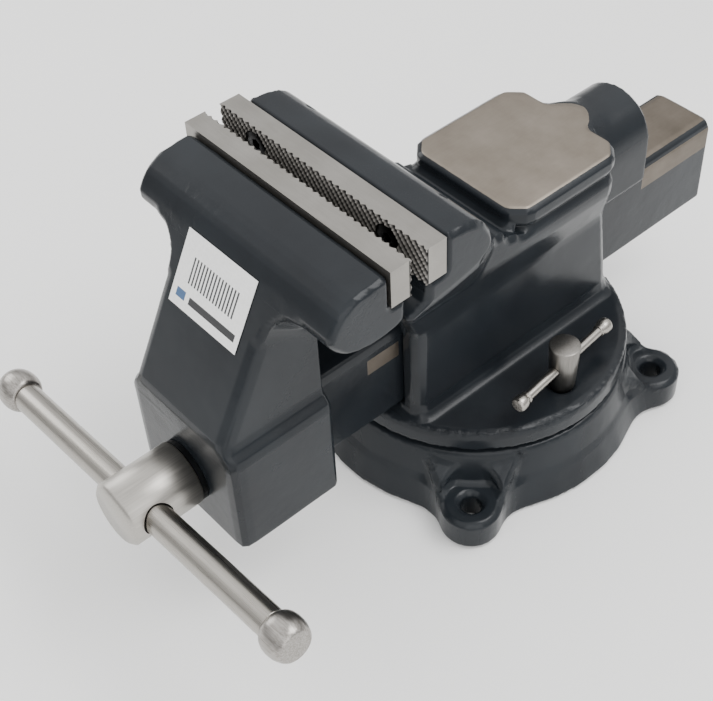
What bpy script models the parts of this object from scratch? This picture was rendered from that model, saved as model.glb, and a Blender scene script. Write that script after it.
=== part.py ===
import math

import bmesh
import bpy
from mathutils import Matrix, Vector

# Lengths are in millimetres here and are turned into metres by SCALE.
SCALE = 0.001
GAP = 0.3

# jaws
JAW_WIDTH = 150.0
CAST_LEFT = -70.5
CAST_RIGHT = 75.0
JAW_TOP = 227.3
PLATE_THICK = 12.7
PLATE_HEIGHT = 21.4
FIXED_FACE_Y = -72.8
MOVING_FACE_Y = -81.0
PLATE_SCREW_X = 48.0
PLATE_SCREW_R = 4.0
PLATE_SCREW_HEAD_R = 7.4

# slide bar and its channel
SLIDE_HALF = 21.3
SLIDE_TOP = 120.4
SLIDE_BOTTOM = 60.1
SLIDE_TAIL = 213.8
CHANNEL_HALF = 14.5
CHANNEL_TOP = 111.4

# nose and stem of the moving jaw
NOSE_FRONT = -169.0
NOSE_REAR = -105.3
NOSE_HALF = 42.6
NOSE_BOTTOM = 59.9
NOSE_WALL = 14.0
STEM_HALF = 36.5
ARCH_R = 16.5

# swivel
SWIVEL_Y = 34.8
FLANGE_R = 89.5
FLANGE_TOP = 57.4
BASE_TOP = 41.9
BASE_FOOT_R = 100.5
BASE_TOP_R = 90.0
BASE_OPENING_R = 76.3
SPIGOT_R = 76.0
SPIGOT_BOTTOM = 33.5
LUG_RADIUS = 106.7
LUG_R = 17.5
LUG_TOP = 20.6
LUG_HOLE_R = 6.2
LUG_SEAT_R = 17.0
LUG_FILLET = 24.0

# body housing
WALL_HALF = 36.0
BLOCK_HALF = 43.0
BODY_FRONT = -42.8
BODY_REAR = 116.0
BAND_LOW = 121.8
BAND_HIGH = 144.8
ANVIL_TOP = 169.0
ANVIL_FRONT = 21.4
ANVIL_REAR = 105.5
ANVIL_CLIP = 9.6
HOOD_REAR = 149.2
HOOD_HALF = 26.0
HOOD_AXIS_Z = 141.3

# lead screw
SCREW_Z = 90.25
SCREW_R = 11.0
SCREW_HEAD_R = 18.0
SCREW_FRONT = -213.8
SCREW_END = 190.0
HANDLE_Y = -199.1
HANDLE_TILT = math.radians(5.5)
HANDLE_R = 8.0
HANDLE_HALF = 108.5
KNOB_CENTRE = 116.9
KNOB_R = 11.5
NUT_Y0 = -10.0
NUT_Y1 = 35.0

# clamp bolts
LOCK_X = 70.0
LOCK_HEAD_TOP = 88.2
LOCK_SHANK_R = 5.0
TBAR_Z = 73.3
TBAR_R = 2.8
TBAR_HALF = 37.2
TBAR_YAW = math.radians(6.4)

# colour, roughness and metallic value of each finish
FINISHES = {
    "enamel": ((0.045, 0.053, 0.065), 0.3, 0.0),
    "ground_steel": ((0.62, 0.61, 0.59), 0.35, 1.0),
    "turned_steel": ((0.56, 0.55, 0.53), 0.28, 1.0),
    "black_steel": ((0.05, 0.05, 0.05), 0.45, 1.0),
    "spring_steel": ((0.3, 0.3, 0.3), 0.4, 1.0),
    "plain_iron": ((0.16, 0.15, 0.14), 0.6, 1.0),
    "label_film": ((0.85, 0.85, 0.84), 0.45, 0.0),
}

# points on the axes that the moving pieces turn about or slide along
SWIVEL_POINT = (0.0, SWIVEL_Y, 0.0)
SPINDLE_POINT = (0.0, HANDLE_Y, SCREW_Z)
SLIDE_POINT = (0.0, NOSE_FRONT, SCREW_Z)


def clear_scene():
    for item in list(bpy.data.objects):
        bpy.data.objects.remove(item, do_unlink=True)


def make_material(name, kind):
    colour, roughness, metallic = FINISHES[kind]
    material = bpy.data.materials.new(name)
    material.use_nodes = True
    shader = material.node_tree.nodes["Principled BSDF"]
    shader.inputs["Base Color"].default_value = (*colour, 1.0)
    shader.inputs["Roughness"].default_value = roughness
    shader.inputs["Metallic"].default_value = metallic
    return material


def from_bmesh(name, bm):
    bmesh.ops.recalc_face_normals(bm, faces=bm.faces)
    mesh = bpy.data.meshes.new(name)
    bm.to_mesh(mesh)
    bm.free()
    item = bpy.data.objects.new(name, mesh)
    bpy.context.scene.collection.objects.link(item)
    return item


def loft(name, rings):
    """Closed body through rings of equal length, capped at both ends."""
    bm = bmesh.new()
    rows = []
    for ring in rings:
        rows.append([bm.verts.new(Vector(p) * SCALE) for p in ring])
    count = len(rows[0])
    for low, high in zip(rows, rows[1:]):
        for i in range(count):
            j = (i + 1) % count
            bm.faces.new((low[i], low[j], high[j], high[i]))
    bm.faces.new(rows[0])
    bm.faces.new(rows[-1])
    return from_bmesh(name, bm)


def place(point, axis, level):
    a, b = point
    if axis == "x":
        return (level, a, b)
    if axis == "y":
        return (a, level, b)
    return (a, b, level)


def prism(name, outline, axis, low, high):
    rings = [[place(p, axis, level) for p in outline] for level in (low, high)]
    return loft(name, rings)


def box(name, x0, x1, y0, y1, z0, z1):
    return prism(name, [(x0, y0), (x1, y0), (x1, y1), (x0, y1)], "z", z0, z1)


def circle(radius, segments, centre=(0.0, 0.0)):
    points = []
    for i in range(segments):
        angle = 2.0 * math.pi * (i + 0.5) / segments
        x = centre[0] + radius * math.cos(angle)
        y = centre[1] + radius * math.sin(angle)
        points.append((x, y))
    return points


def turned(name, profile, axis, centre, segments):
    """Solid of stations (level, radius) along an axis, centred on a 2D point."""
    rings = []
    for level, radius in profile:
        rings.append([place(p, axis, level) for p in circle(radius, segments, centre)])
    return loft(name, rings)


def hull(name, points):
    bm = bmesh.new()
    for p in points:
        bm.verts.new(Vector(p) * SCALE)
    result = bmesh.ops.convex_hull(bm, input=bm.verts)
    loose = [e for e in result["geom_interior"] if isinstance(e, bmesh.types.BMVert)]
    bmesh.ops.delete(bm, geom=loose, context="VERTS")
    flat = math.radians(0.5)
    bmesh.ops.dissolve_limit(bm, angle_limit=flat, verts=bm.verts, edges=bm.edges)
    return from_bmesh(name, bm)


def mirrored(points):
    return [p for p in points] + [(-p[0], p[1], p[2]) for p in points]


def combine(target, other, operation):
    modifier = target.modifiers.new("combine", "BOOLEAN")
    modifier.operation = operation
    modifier.solver = "EXACT"
    modifier.object = other
    graph = bpy.context.evaluated_depsgraph_get()
    mesh = bpy.data.meshes.new_from_object(target.evaluated_get(graph))
    target.modifiers.clear()
    target.data = mesh
    bpy.data.objects.remove(other, do_unlink=True)
    return target


def add(target, other):
    return combine(target, other, "UNION")


def cut(target, other):
    return combine(target, other, "DIFFERENCE")


def tidy(item):
    bm = bmesh.new()
    bm.from_mesh(item.data)
    bmesh.ops.remove_doubles(bm, verts=bm.verts, dist=0.00001)
    bmesh.ops.triangulate(bm, faces=bm.faces)
    bm.to_mesh(item.data)
    bm.free()


def finish(item, kind, pivot):
    """Own material, shading, and the origin moved to a point on the piece's joint axis."""
    tidy(item)
    origin = Vector(pivot) * SCALE
    item.data.transform(Matrix.Translation(-origin))
    item.location = origin
    item.data.name = item.name
    item.data.materials.clear()
    item.data.materials.append(make_material(item.name, kind))
    item.data.shade_smooth()
    item.data.set_sharp_from_angle(angle=math.radians(32))
    return item


# --- swivel base ---

def lug_outline(drum_r, fillet, arc_steps):
    """Top view of the drum with four lugs and concave fillets, about the origin."""
    reach = drum_r + fillet
    tip = LUG_R + fillet
    along = (reach ** 2 - tip ** 2 + LUG_RADIUS ** 2) / (2.0 * LUG_RADIUS)
    aside = math.sqrt(reach ** 2 - along ** 2)
    swing = math.atan2(aside, along)
    turn = math.atan2(aside, LUG_RADIUS - along)
    points = []
    for k in range(4):
        mid = math.radians(45 + 90 * k)
        arc = []
        hub = (along, -aside)
        start = math.pi - swing
        end = turn
        for i in range(arc_steps + 1):
            angle = start + (end - start) * i / arc_steps
            arc.append((hub[0] + fillet * math.cos(angle), hub[1] + fillet * math.sin(angle)))
        lug = []
        open_angle = math.pi - turn
        for i in range(1, 2 * arc_steps):
            angle = -open_angle + open_angle * i / arc_steps
            lug.append((LUG_RADIUS + LUG_R * math.cos(angle), LUG_R * math.sin(angle)))
        back = [(p[0], -p[1]) for p in reversed(arc)]
        drum = []
        gap = math.pi / 2.0 - 2.0 * swing
        for i in range(1, arc_steps):
            angle = swing + gap * i / arc_steps
            drum.append((drum_r * math.cos(angle), drum_r * math.sin(angle)))
        for x, y in arc + lug + back + drum:
            points.append(
                (x * math.cos(mid) - y * math.sin(mid), x * math.sin(mid) + y * math.cos(mid))
            )
    return points


def about_swivel(points):
    return [(x, y + SWIVEL_Y) for x, y in points]


def lug_place(k, radial, aside, z):
    angle = math.radians(45 + 90 * k)
    x = radial * math.cos(angle) - aside * math.sin(angle)
    y = radial * math.sin(angle) + aside * math.cos(angle)
    return (x, y + SWIVEL_Y, z)


def build_base():
    low = about_swivel(lug_outline(BASE_FOOT_R, LUG_FILLET, 5))
    high = about_swivel(lug_outline(95.0, LUG_FILLET, 5))
    base = loft("swivel_base", [
        [(x, y, 0.0) for x, y in low],
        [(x, y, LUG_TOP) for x, y in high],
    ])
    centre = (0.0, SWIVEL_Y)
    drum = [(1.0, 94.0), (LUG_TOP - 2.0, 94.4), (30.0, 92.2), (BASE_TOP - 1.5, BASE_TOP_R)]
    drum.append((BASE_TOP, BASE_TOP_R - 1.5))
    add(base, turned("drum", drum, "z", centre, 64))
    for k in range(4):
        points = []
        for side in (-1.0, 1.0):
            points.append(lug_place(k, 80.0, 27.5 * side, 39.6))
            points.append(lug_place(k, 84.5, 27.5 * side, 39.3))
            points.append(lug_place(k, 105.0, 17.2 * side, LUG_TOP + 0.3))
            points.append(lug_place(k, 105.0, 17.2 * side, 10.0))
            points.append(lug_place(k, 80.0, 27.5 * side, 10.0))
        gusset = hull("gusset", points)
        x, y, z = lug_place(k, LUG_RADIUS, 0.0, 0.0)
        cut(gusset, turned("seat", [(5.0, LUG_SEAT_R), (60.0, LUG_SEAT_R)], "z", (x, y), 32))
        add(base, gusset)
        hole = [(-2.0, LUG_HOLE_R), (60.0, LUG_HOLE_R)]
        cut(base, turned("hole", hole, "z", (x, y), 24))
    cavity = [(-2.0, 84.5), (33.2, 83.0)]
    cut(base, turned("cavity", cavity, "z", centre, 64))
    opening = [(20.0, BASE_OPENING_R), (60.0, BASE_OPENING_R)]
    cut(base, turned("opening", opening, "z", centre, 64))
    return finish(base, "enamel", SWIVEL_POINT)


# --- fixed body ---

def anvil_outline(inset):
    half = BLOCK_HALF - inset
    clip = ANVIL_CLIP
    front = ANVIL_FRONT + inset
    rear = ANVIL_REAR - inset
    return [
        (-half + clip, front), (half - clip, front), (half, front + clip),
        (half, rear - clip), (half - clip, rear), (-half + clip, rear),
        (-half, rear - clip), (-half, front + clip),
    ]


def fixed_head():
    outline = [
        (-83.2, 189.0), (-59.1, 191.9), (-45.7, 194.4), (-36.0, 197.2), (-30.6, 200.8),
        (-28.3, 206.0), (-29.3, 211.5), (-33.3, 218.3), (-38.6, 223.2), (-45.0, 225.4),
        (-59.8, JAW_TOP), (-59.8, 205.6), (-71.2, 205.6), (-71.2, 194.9), (-83.2, 189.9),
    ]
    return prism("head", outline, "x", CAST_LEFT, CAST_RIGHT)


def housing_ring(half, front, rear, clip, z):
    nip = 4.0
    return [
        (half - nip, front, z), (half, front + nip, z), (half, rear - clip, z),
        (half - clip, rear, z), (-half + clip, rear, z), (-half, rear - clip, z),
        (-half, front + nip, z), (-half + nip, front, z),
    ]


def build_body():
    centre = (0.0, SWIVEL_Y)
    flange = [(BASE_TOP + GAP, FLANGE_R), (FLANGE_TOP - 1.5, FLANGE_R)]
    flange.append((FLANGE_TOP, FLANGE_R - 1.5))
    body = turned("fixed_body", flange, "z", centre, 64)
    spigot = [(SPIGOT_BOTTOM, SPIGOT_R), (50.0, SPIGOT_R)]
    add(body, turned("spigot", spigot, "z", centre, 64))
    add(body, loft("housing", [
        housing_ring(WALL_HALF + 4.0, BODY_FRONT - 2.0, BODY_REAR + 1.0, 8.0, FLANGE_TOP - 3.0),
        housing_ring(WALL_HALF + 3.0, BODY_FRONT - 1.5, BODY_REAR, 8.0, FLANGE_TOP + 1.0),
        housing_ring(WALL_HALF, BODY_FRONT, BODY_REAR - 1.0, 8.0, FLANGE_TOP + 6.0),
        housing_ring(WALL_HALF, BODY_FRONT, 107.0, 8.0, BAND_LOW),
        housing_ring(BLOCK_HALF, -55.5, ANVIL_REAR, ANVIL_CLIP, BAND_HIGH),
        housing_ring(BLOCK_HALF, -60.5, ANVIL_REAR, ANVIL_CLIP, 153.6),
    ]))
    neck = [
        (-60.4, 153.0), (-68.5, 167.6), (12.0, 165.2), (15.0, 162.0), (15.0, 158.0),
        (22.0, 158.0), (27.0, 153.0),
    ]
    add(body, prism("neck", neck, "x", -BLOCK_HALF, BLOCK_HALF))
    flare = [(-83.2, 189.0), (-59.1, 191.9), (-45.7, 194.4), (-36.0, 197.2)]
    wings = [(x, y, z) for x in (CAST_LEFT, CAST_RIGHT) for y, z in flare]
    add(body, hull("flare", wings + mirrored([
        (43.0, -56.0, 144.9), (43.0, -8.0, 144.9), (43.0, 6.0, 165.0),
        (40.0, -30.0, 200.0), (40.0, -68.0, 200.0),
    ])))
    add(body, hull("heel", mirrored([
        (43.0, -31.0, 203.0), (43.0, -22.0, 186.0), (43.0, 4.0, 166.0),
        (43.0, 9.0, 160.0), (43.0, -50.0, 160.0), (43.0, -50.0, 203.0),
    ])))
    add(body, fixed_head())
    add(body, prism("anvil_neck", anvil_outline(2.6), "z", 150.0, 160.0))
    add(body, prism("anvil", anvil_outline(0.0), "z", 157.8, ANVIL_TOP))
    arch = [(HOOD_HALF, 112.0), (HOOD_HALF, HOOD_AXIS_Z)]
    for i in range(1, 14):
        angle = math.pi * i / 14.0
        x = HOOD_HALF * math.cos(angle)
        arch.append((x, HOOD_AXIS_Z + HOOD_HALF * math.sin(angle)))
    arch += [(-HOOD_HALF, HOOD_AXIS_Z), (-HOOD_HALF, 112.0)]
    add(body, prism("hood", arch, "y", 100.0, HOOD_REAR))
    add(body, hull("tongue", mirrored([
        (16.0, 104.0, ANVIL_TOP), (10.0, 108.5, ANVIL_TOP), (8.6, 112.5, ANVIL_TOP),
        (4.5, 115.6, ANVIL_TOP), (0.5, 116.4, ANVIL_TOP), (24.0, 104.0, 155.0),
        (19.0, 122.0, 158.0), (9.0, 128.0, 164.0),
    ])))
    tunnel = box("tunnel", -SLIDE_HALF - GAP, SLIDE_HALF + GAP, -200, 200,
                 SLIDE_BOTTOM - GAP, SLIDE_TOP + GAP)
    cut(body, tunnel)
    cut(body, turned("pocket", [(20.0, 57.5), (47.0, 57.5)], "z", centre, 48))
    cut(body, turned("nut_hole", [(40.0, 5.3), (70.0, 5.3)], "z", (0.0, 12.5), 20))
    for side in (-1.0, 1.0):
        hole = [(20.0, 5.4), (70.0, 5.4)]
        cut(body, turned("bolt_hole", hole, "z", (LOCK_X * side, SWIVEL_Y), 20))
    for side in (-1.0, 1.0):
        seat = [(-75.0, 4.3), (-36.0, 4.3)]
        where = (PLATE_SCREW_X * side, JAW_TOP - PLATE_HEIGHT / 2.0)
        cut(body, turned("tapped", seat, "y", where, 16))
    return finish(body, "enamel", SWIVEL_POINT)


# --- moving jaw ---

def slope_y(z):
    """Front plane of the stem at a given height."""
    return NOSE_FRONT + (z - 133.0) * 0.5243


def arch_ring(top, side, y=None):
    points = [(STEM_HALF - 2.0, top - ARCH_R)]
    for i in range(7):
        angle = math.pi - (math.pi / 2.0) * i / 6.0
        x = STEM_HALF + ARCH_R + ARCH_R * math.cos(angle)
        points.append((x, top - ARCH_R + ARCH_R * math.sin(angle)))
    points.append((STEM_HALF + ARCH_R, top + 3.0))
    points.append((STEM_HALF - 2.0, top + 3.0))
    ring = []
    for x, z in points:
        ring.append((side * x, slope_y(z) + 0.05 if y is None else y, z))
    return ring


def build_moving():
    head = [
        (-105.2, 224.4), (-114.6, 223.4), (-122.6, 218.7), (-127.2, 212.5),
        (-130.0, 207.3), (-127.0, 200.5), (-120.4, 193.5), (-113.9, 190.7), (-103.8, 189.6),
        (-92.0, 190.3), (-88.0, 191.7), (-84.5, 194.0), (-84.5, 205.6), (-94.0, 205.6),
        (-94.0, 225.4),
    ]
    jaw = prism("moving_jaw", head, "x", CAST_LEFT, CAST_RIGHT)
    nose = [
        (-34.0, 133.4), (-NOSE_HALF, 124.9), (-NOSE_HALF, NOSE_BOTTOM),
        (NOSE_HALF, NOSE_BOTTOM), (NOSE_HALF, 124.9), (34.0, 133.4),
    ]
    blunt = [(x * 0.9, z) for x, z in nose]
    add(jaw, loft("nose", [
        [(x, NOSE_FRONT, z) for x, z in blunt],
        [(x, NOSE_FRONT + 1.4, z) for x, z in [(p[0] * 0.97, p[1]) for p in nose]],
        [(x, NOSE_FRONT + 5.0, z) for x, z in nose],
        [(x, NOSE_REAR, z) for x, z in nose],
    ]))
    nip_y = 3.55
    nip_z = -1.84
    add(jaw, hull("stem", mirrored([
        (33.0, NOSE_FRONT, 133.0), (33.0, slope_y(209.0), 209.0), (33.0, NOSE_FRONT, 120.0),
        (STEM_HALF, NOSE_FRONT + nip_y, 133.0 + nip_z), (STEM_HALF, NOSE_FRONT + nip_y, 120.0),
        (STEM_HALF, slope_y(209.0) + nip_y, 209.0 + nip_z),
        (STEM_HALF, NOSE_REAR, 205.0), (STEM_HALF, NOSE_REAR, 120.0),
    ])))
    add(jaw, hull("crown", mirrored([
        (STEM_HALF, slope_y(187.5), 187.5), (STEM_HALF, slope_y(209.0), 209.0),
        (STEM_HALF, slope_y(184.0) + nip_y, 184.0), (STEM_HALF, -118.0, 184.0),
        (STEM_HALF, -118.0, 209.0),
    ])))
    for side in (-1.0, 1.0):
        add(jaw, loft("arch", [
            arch_ring(189.9, side, NOSE_REAR), arch_ring(190.7, side, -114.0),
            arch_ring(205.0, side),
        ]))
    corner = 3.4
    slide = [
        (-SLIDE_HALF, SLIDE_BOTTOM), (SLIDE_HALF, SLIDE_BOTTOM),
        (SLIDE_HALF, SLIDE_TOP - corner), (SLIDE_HALF - corner, SLIDE_TOP),
        (-SLIDE_HALF + corner, SLIDE_TOP), (-SLIDE_HALF, SLIDE_TOP - corner),
    ]
    add(jaw, prism("slide", slide, "y", -150.0, SLIDE_TAIL))
    wall = NOSE_FRONT + NOSE_WALL
    cut(jaw, box("channel", -CHANNEL_HALF, CHANNEL_HALF, wall, 300.0, 20.0, CHANNEL_TOP))
    cut(jaw, turned("bore", [(-190.0, 11.4), (-140.0, 11.4)], "y", (0.0, SCREW_Z), 32))
    for side in (-1.0, 1.0):
        seat = [(-118.0, 4.3), (-80.0, 4.3)]
        where = (PLATE_SCREW_X * side, JAW_TOP - PLATE_HEIGHT / 2.0)
        cut(jaw, turned("tapped", seat, "y", where, 16))
    return finish(jaw, "enamel", SLIDE_POINT)


# --- jaw plates and their screws ---

def build_plate(name, face_y, back, pivot):
    """Plate whose gripping face is at face_y; back is +1 when it lies toward +Y."""
    far = face_y + back * PLATE_THICK
    low, high = min(face_y, far), max(face_y, far)
    z0 = JAW_TOP - PLATE_HEIGHT
    half = JAW_WIDTH / 2.0
    plate = box(name, -half, half, low, high, z0, JAW_TOP)
    pitch = 6.0
    depth = 0.7
    count = int(JAW_WIDTH / pitch)
    for i in range(count):
        x = -half + pitch * (i + 0.5)
        notch = [(x - 1.1, face_y - back), (x + 1.1, face_y - back), (x, face_y + back * depth)]
        cut(plate, prism("notch", notch, "z", z0 - 2.0, JAW_TOP + 2.0))
    z = JAW_TOP - PLATE_HEIGHT / 2.0
    for side in (-1.0, 1.0):
        where = (PLATE_SCREW_X * side, z)
        hole = sorted([
            (face_y - back * 2.0, PLATE_SCREW_HEAD_R + GAP),
            (face_y + back * 3.0, PLATE_SCREW_HEAD_R + GAP),
            (face_y + back * 6.5, PLATE_SCREW_R + GAP),
            (face_y + back * 20.0, PLATE_SCREW_R + GAP),
        ])
        cut(plate, turned("screw_hole", hole, "y", where, 24))
    return finish(plate, "ground_steel", pivot)


def build_plate_screw(name, x, face_y, back, pivot):
    z = JAW_TOP - PLATE_HEIGHT / 2.0
    profile = sorted([
        (face_y + back * 1.2, PLATE_SCREW_HEAD_R),
        (face_y + back * 3.0, PLATE_SCREW_HEAD_R),
        (face_y + back * 6.4, PLATE_SCREW_R),
        (face_y + back * 30.0, PLATE_SCREW_R),
    ])
    screw = turned(name, profile, "y", (x, z), 24)
    bottom = face_y + back * 3.4
    low, high = min(bottom, face_y), max(bottom, face_y)
    hexagon = [(x + 3.0 * math.cos(math.pi * i / 3.0), z + 3.0 * math.sin(math.pi * i / 3.0))
               for i in range(6)]
    cut(screw, prism("socket", hexagon, "y", low, high))
    return finish(screw, "black_steel", pivot)


# --- lead screw group ---

def build_screw():
    head_back = NOSE_FRONT - 3.1
    profile = [
        (SCREW_FRONT, SCREW_HEAD_R - 2.0), (SCREW_FRONT + 2.0, SCREW_HEAD_R),
        (head_back, SCREW_HEAD_R), (head_back + 0.01, SCREW_R),
        (SCREW_END - 3.0, SCREW_R), (SCREW_END, SCREW_R - 2.5),
    ]
    screw = turned("lead_screw", profile, "y", (0.0, SCREW_Z), 40)
    cross = turned("cross", [(-40.0, 8.7), (40.0, 8.7)], "x", (0.0, 0.0), 28)
    cross.matrix_world = (
        Matrix.Translation(Vector((0.0, HANDLE_Y, SCREW_Z)) * SCALE)
        @ Matrix.Rotation(-HANDLE_TILT, 4, "Y")
    )
    bpy.context.view_layer.update()
    cut(screw, cross)
    cut(screw, turned("pin_hole", [(-20.0, 1.7), (20.0, 1.7)], "x", (-133.4, SCREW_Z), 12))
    return finish(screw, "turned_steel", SPINDLE_POINT)


def tilted(profile, segments, name):
    """Turned piece along the tilted handle axis, placed through the screw head."""
    item = turned(name, profile, "x", (0.0, 0.0), segments)
    turn = Matrix.Translation(Vector((0.0, HANDLE_Y, SCREW_Z)) * SCALE)
    item.data.transform(turn @ Matrix.Rotation(-HANDLE_TILT, 4, "Y"))
    return item


def build_handle():
    neck = 5.0
    bar = [(-KNOB_CENTRE, neck), (-HANDLE_HALF, neck), (-HANDLE_HALF + 0.01, HANDLE_R),
           (HANDLE_HALF - 0.01, HANDLE_R), (HANDLE_HALF, neck), (KNOB_CENTRE, neck)]
    finish(tilted(bar, 32, "handle_bar"), "turned_steel", SPINDLE_POINT)
    for name, side in (("handle_knob_a", -1.0), ("handle_knob_b", 1.0)):
        shape = [(-8.1, 8.4), (-6.0, 10.2), (-2.5, 11.4), (0.5, 11.5), (4.5, 10.9),
                 (7.5, 9.6), (8.6, 8.6)]
        profile = sorted((side * (KNOB_CENTRE + level), radius) for level, radius in shape)
        knob = tilted(profile, 32, name)
        hole = sorted([(side * (HANDLE_HALF - 4.0), neck + GAP),
                       (side * (KNOB_CENTRE + GAP), neck + GAP)])
        cut(knob, tilted(hole, 24, "knob_hole"))
        finish(knob, "turned_steel", SPINDLE_POINT)


def build_ring(name, y0, y1, outer, inner, kind, segments=32):
    ring = turned(name, [(y0, outer), (y1, outer)], "y", (0.0, SCREW_Z), segments)
    cut(ring, turned("inner", [(y0 - 2, inner), (y1 + 2, inner)], "y", (0.0, SCREW_Z), segments))
    return finish(ring, kind, SPINDLE_POINT)


def build_spring():
    coil_r, wire_r, turns, per_turn, sides = 12.7, 1.05, 4, 18, 6
    y0, y1 = -153.4, -139.3
    rings = []
    for i in range(turns * per_turn + 1):
        t = i / (turns * per_turn)
        angle = 2.0 * math.pi * turns * t
        out = Vector((math.cos(angle), 0.0, math.sin(angle)))
        centre = out * coil_r + Vector((0.0, y0 + (y1 - y0) * t, SCREW_Z))
        ring = []
        for k in range(sides):
            spin = 2.0 * math.pi * k / sides
            offset = out * math.cos(spin) + Vector((0.0, 1.0, 0.0)) * math.sin(spin)
            ring.append(centre + offset * wire_r)
        rings.append(ring)
    return finish(loft("retaining_spring", rings), "spring_steel", SPINDLE_POINT)


def build_pin():
    pin = turned("split_pin", [(-13.6, 1.35), (13.6, 1.35)], "x", (-133.4, SCREW_Z), 12)
    return finish(pin, "plain_iron", SPINDLE_POINT)


def build_nut():
    nut = box("lead_nut", -14.0, 14.0, NUT_Y0, NUT_Y1, SLIDE_BOTTOM, 107.0)
    thread = [(NUT_Y0 - 5.0, SCREW_R + GAP), (NUT_Y1 + 5.0, SCREW_R + GAP)]
    cut(nut, turned("thread", thread, "y", (0.0, SCREW_Z), 40))
    cut(nut, turned("foot_hole", [(50.0, 5.3), (76.0, 5.3)], "z", (0.0, 12.5), 20))
    hexagon = [(9.2 * math.cos(math.pi * i / 3.0), 12.5 + 9.2 * math.sin(math.pi * i / 3.0))
               for i in range(6)]
    bolt = prism("nut_bolt", hexagon, "z", 40.0, 46.7)
    add(bolt, turned("shank", [(43.0, 5.0), (73.0, 5.0), (74.0, 4.2)], "z", (0.0, 12.5), 20))
    finish(nut, "plain_iron", SWIVEL_POINT)
    finish(bolt, "black_steel", SWIVEL_POINT)


# --- clamp bolts ---

def lock_turn(side):
    return Matrix.Rotation(TBAR_YAW * side, 4, "Z")


def build_lock(side, word):
    where = (LOCK_X * side, SWIVEL_Y)
    profile = [
        (12.0, LOCK_SHANK_R - 1.0), (13.0, LOCK_SHANK_R), (FLANGE_TOP + GAP - 0.01, LOCK_SHANK_R),
        (FLANGE_TOP + GAP, 7.4), (LOCK_HEAD_TOP - 0.8, 8.9), (LOCK_HEAD_TOP, 8.2),
    ]
    bolt = turned("lock_bolt_" + word, profile, "z", where, 32)
    shift = Matrix.Translation(Vector((where[0], where[1], TBAR_Z)) * SCALE)
    hole = turned("bar_hole", [(-20.0, TBAR_R + GAP), (20.0, TBAR_R + GAP)], "y", (0.0, 0.0), 20)
    hole.data.transform(shift @ lock_turn(side))
    cut(bolt, hole)
    end = TBAR_HALF
    stations = [(end - 4.6, TBAR_R), (end - 3.4, 3.9), (end - 1.0, 4.5), (end + 2.4, 4.5),
                (end + 4.3, 3.6)]
    profile = [(-level, radius) for level, radius in reversed(stations)] + stations
    bar = turned("lock_tbar_" + word, profile, "y", (0.0, 0.0), 20)
    bar.data.transform(shift @ lock_turn(side))
    inner, outer = 58.2, 81.6
    x0, x1 = sorted((inner * side, outer * side))
    dog = box("clamp_dog_" + word, x0, x1, SWIVEL_Y - 11.0, SWIVEL_Y + 11.0, 22.4, 32.9)
    cut(dog, turned("dog_hole", [(10.0, 5.3), (50.0, 5.3)], "z", where, 20))
    pivot = (where[0], where[1], TBAR_Z)
    finish(bolt, "turned_steel", pivot)
    finish(bar, "turned_steel", pivot)
    finish(dog, "plain_iron", pivot)


def build_label():
    low, high = 176.1, 210.6
    lift = 0.3
    out = Vector((0.0, -0.8856, 0.4644))
    corners = []
    for z in (low, high):
        for x in (-26.9, 24.8):
            corners.append(Vector((x, slope_y(z), z)))
    points = [c + out * lift for c in corners] + [c + out * (lift + 0.25) for c in corners]
    return finish(hull("label", [tuple(p) for p in points]), "label_film", SLIDE_POINT)


def main():
    clear_scene()
    build_base()
    build_body()
    build_moving()
    build_plate("jaw_plate_fixed", FIXED_FACE_Y, 1.0, SWIVEL_POINT)
    build_plate("jaw_plate_moving", MOVING_FACE_Y, -1.0, SLIDE_POINT)
    for word, x in (("a", -PLATE_SCREW_X), ("b", PLATE_SCREW_X)):
        build_plate_screw("jaw_screw_fixed_" + word, x, FIXED_FACE_Y, 1.0, SWIVEL_POINT)
        build_plate_screw("jaw_screw_moving_" + word, x, MOVING_FACE_Y, -1.0, SLIDE_POINT)
    build_screw()
    build_handle()
    build_ring("thrust_washer", NOSE_FRONT - 2.8, NOSE_FRONT - GAP, 17.4, 11.4, "black_steel")
    build_spring()
    build_ring("retaining_washer", -137.6, -135.1, 14.0, 11.4, "plain_iron")
    build_pin()
    build_nut()
    build_lock(1.0, "right")
    build_lock(-1.0, "left")
    build_label()


main()
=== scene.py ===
import math

import bmesh
import bpy
import numpy as np
from mathutils import Matrix, Vector, noise
from mathutils.bvhtree import BVHTree


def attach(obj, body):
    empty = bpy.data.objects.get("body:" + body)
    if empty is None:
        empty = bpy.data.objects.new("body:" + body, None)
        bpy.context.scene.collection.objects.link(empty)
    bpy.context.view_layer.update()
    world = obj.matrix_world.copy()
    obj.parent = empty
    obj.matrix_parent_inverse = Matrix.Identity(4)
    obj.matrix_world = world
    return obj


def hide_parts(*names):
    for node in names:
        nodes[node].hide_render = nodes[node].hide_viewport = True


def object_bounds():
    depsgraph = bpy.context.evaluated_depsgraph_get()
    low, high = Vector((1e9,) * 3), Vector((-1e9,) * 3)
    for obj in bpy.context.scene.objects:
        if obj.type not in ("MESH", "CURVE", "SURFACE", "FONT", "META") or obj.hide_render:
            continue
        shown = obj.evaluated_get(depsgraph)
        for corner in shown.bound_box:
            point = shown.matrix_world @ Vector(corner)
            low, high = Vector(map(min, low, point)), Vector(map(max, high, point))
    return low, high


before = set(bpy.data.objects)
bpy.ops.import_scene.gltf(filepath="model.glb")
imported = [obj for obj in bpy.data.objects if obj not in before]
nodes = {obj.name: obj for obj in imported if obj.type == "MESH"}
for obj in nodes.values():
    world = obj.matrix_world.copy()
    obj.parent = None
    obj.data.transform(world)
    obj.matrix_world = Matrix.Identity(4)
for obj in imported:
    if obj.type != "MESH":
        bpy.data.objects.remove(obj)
cadLow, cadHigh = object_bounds()
mm = 0.001
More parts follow.
